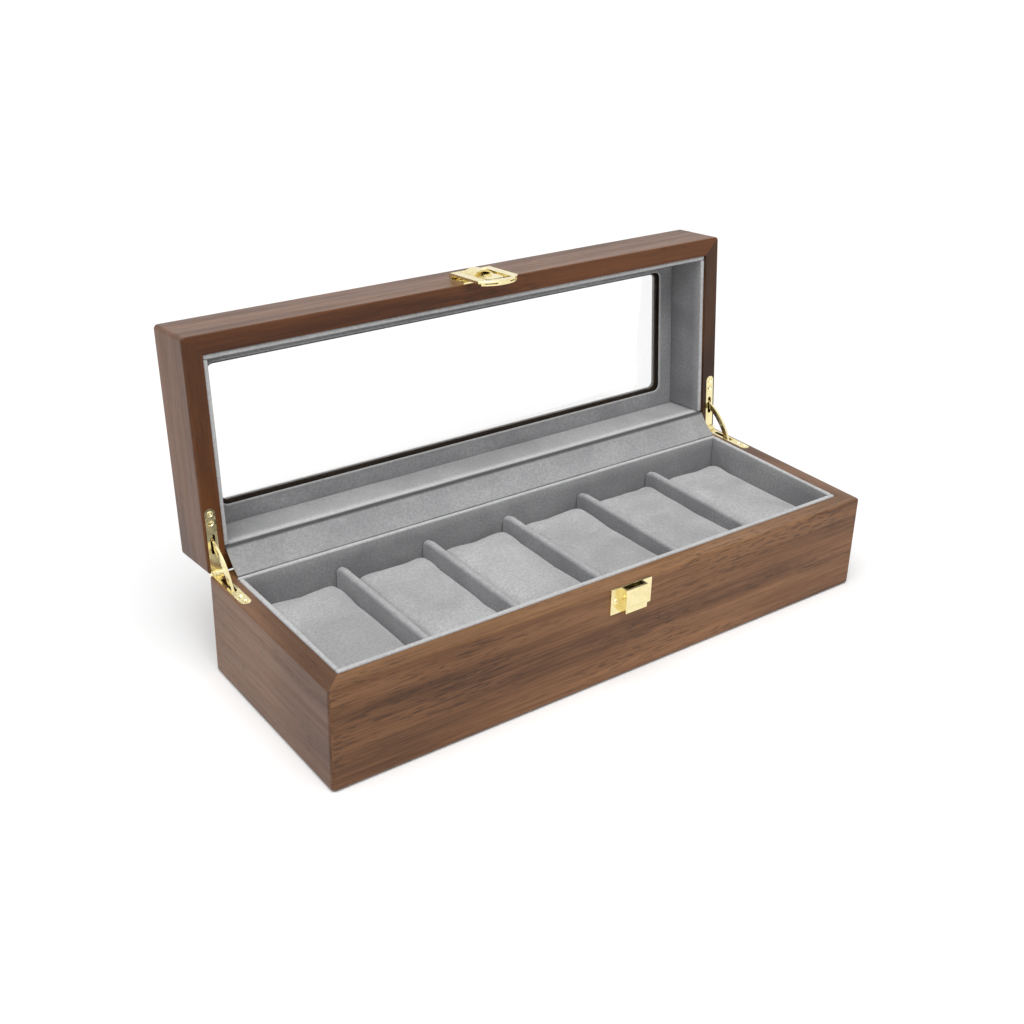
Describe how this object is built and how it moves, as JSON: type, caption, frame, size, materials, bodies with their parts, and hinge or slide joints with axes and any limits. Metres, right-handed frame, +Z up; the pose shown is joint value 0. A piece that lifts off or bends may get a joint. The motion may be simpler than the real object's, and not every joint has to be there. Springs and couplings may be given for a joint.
{
  "type": "watch box",
  "caption": "Long wooden watch box with a hinged glass-window lid, velvet lining, bays between dividers, lift-out watch pillows, stay hinges and a front hasp catch.",
  "frame": {"origin": "centre of the base's underside, on the surface the box stands on", "axes": "+X along the length to the right, -Y towards the catch side, +Z up; stored with the lid open against its stays"},
  "size_m": [0.31, 0.1542, 0.1647],
  "materials": {
    "walnut": "satin lacquered walnut veneer, grain along the length of each board",
    "plywood": "plain sanded panel",
    "felt": "thin dark felt",
    "velvet": "short grey velvet over card",
    "velvet_pillow": "short grey velvet over soft foam",
    "brass": "polished, pale gold plated",
    "glass": "clear flat pane"
  },
  "bodies": {
    "base": {"base_floor": "plywood", "base_front_wall": "walnut", "base_left_wall": "walnut", "base_lining_floor": "velvet", "base_lining_front": "velvet", "base_lining_left": "velvet", "base_lining_rear": "velvet", "base_lining_right": "velvet", "base_rear_wall": "walnut", "base_right_wall": "walnut", "base_underlay": "felt", "divider_1": "velvet", "divider_2": "velvet", "divider_3": "velvet", "divider_4": "velvet", "divider_5": "velvet", "catch_plate": "brass", "catch_screws": "brass", "hinge_leaf_base_left": "brass", "hinge_leaf_base_right": "brass", "hinge_pins": "brass", "hinge_screws_base": "brass", "hinge_cloth": "velvet"},
    "lid": {"lid_front_wall": "walnut", "lid_glass": "glass", "lid_left_wall": "walnut", "lid_lining_front": "velvet", "lid_lining_left": "velvet", "lid_lining_rear": "velvet", "lid_lining_right": "velvet", "lid_lining_top": "velvet", "lid_rear_wall": "walnut", "lid_right_wall": "walnut", "lid_top_frame": "walnut", "hasp_plate": "brass", "hasp_plate_screws": "brass", "hasp_pin": "brass", "hinge_leaf_lid_left": "brass", "hinge_leaf_lid_right": "brass", "hinge_screws_lid": "brass"},
    "hasp": {"hasp": "brass"},
    "stay_left": {"hinge_stay_left": "brass"},
    "stay_right": {"hinge_stay_right": "brass"},
    "pillow_1": {"watch_pillow_1": "velvet_pillow"},
    "pillow_2": {"watch_pillow_2": "velvet_pillow"},
    "pillow_3": {"watch_pillow_3": "velvet_pillow"},
    "pillow_4": {"watch_pillow_4": "velvet_pillow"},
    "pillow_5": {"watch_pillow_5": "velvet_pillow"},
    "pillow_6": {"watch_pillow_6": "velvet_pillow"}
  },
  "joints": [
    {"name": "lid_hinge", "type": "hinge", "parent": "base", "child": "lid", "pos_m": [0, 0.055, 0.05], "axis": [-1, 0, 0], "range_deg": [-95, 0], "deforming": ["hinge_cloth"]},
    {"name": "stay_left_swing", "type": "hinge", "parent": "base", "child": "stay_left", "pos_m": [0, 0.055, 0.05], "axis": [-1, 0, 0], "range_deg": [-47.5, 0]},
    {"name": "stay_right_swing", "type": "hinge", "parent": "base", "child": "stay_right", "pos_m": [0, 0.055, 0.05], "axis": [-1, 0, 0], "range_deg": [-47.5, 0]},
    {"name": "hasp_hinge", "type": "hinge", "parent": "lid", "child": "hasp", "pos_m": [0, 0.07691, 0.16051], "axis": [-1, 0, 0], "range_deg": [0, 100]},
    {"name": "pillow_1_lift", "type": "slide", "parent": "base", "child": "pillow_1", "axis": [0, 0, 1], "range_m": [0, 0.055]},
    {"name": "pillow_2_lift", "type": "slide", "parent": "base", "child": "pillow_2", "axis": [0, 0, 1], "range_m": [0, 0.055]},
    {"name": "pillow_3_lift", "type": "slide", "parent": "base", "child": "pillow_3", "axis": [0, 0, 1], "range_m": [0, 0.055]},
    {"name": "pillow_4_lift", "type": "slide", "parent": "base", "child": "pillow_4", "axis": [0, 0, 1], "range_m": [0, 0.055]},
    {"name": "pillow_5_lift", "type": "slide", "parent": "base", "child": "pillow_5", "axis": [0, 0, 1], "range_m": [0, 0.055]},
    {"name": "pillow_6_lift", "type": "slide", "parent": "base", "child": "pillow_6", "axis": [0, 0, 1], "range_m": [0, 0.055]}
  ],
  "couplings": [
    {"joint": "stay_left_swing", "follows": "lid_hinge", "ratio": 0.5},
    {"joint": "stay_right_swing", "follows": "lid_hinge", "ratio": 0.5}
  ]
}
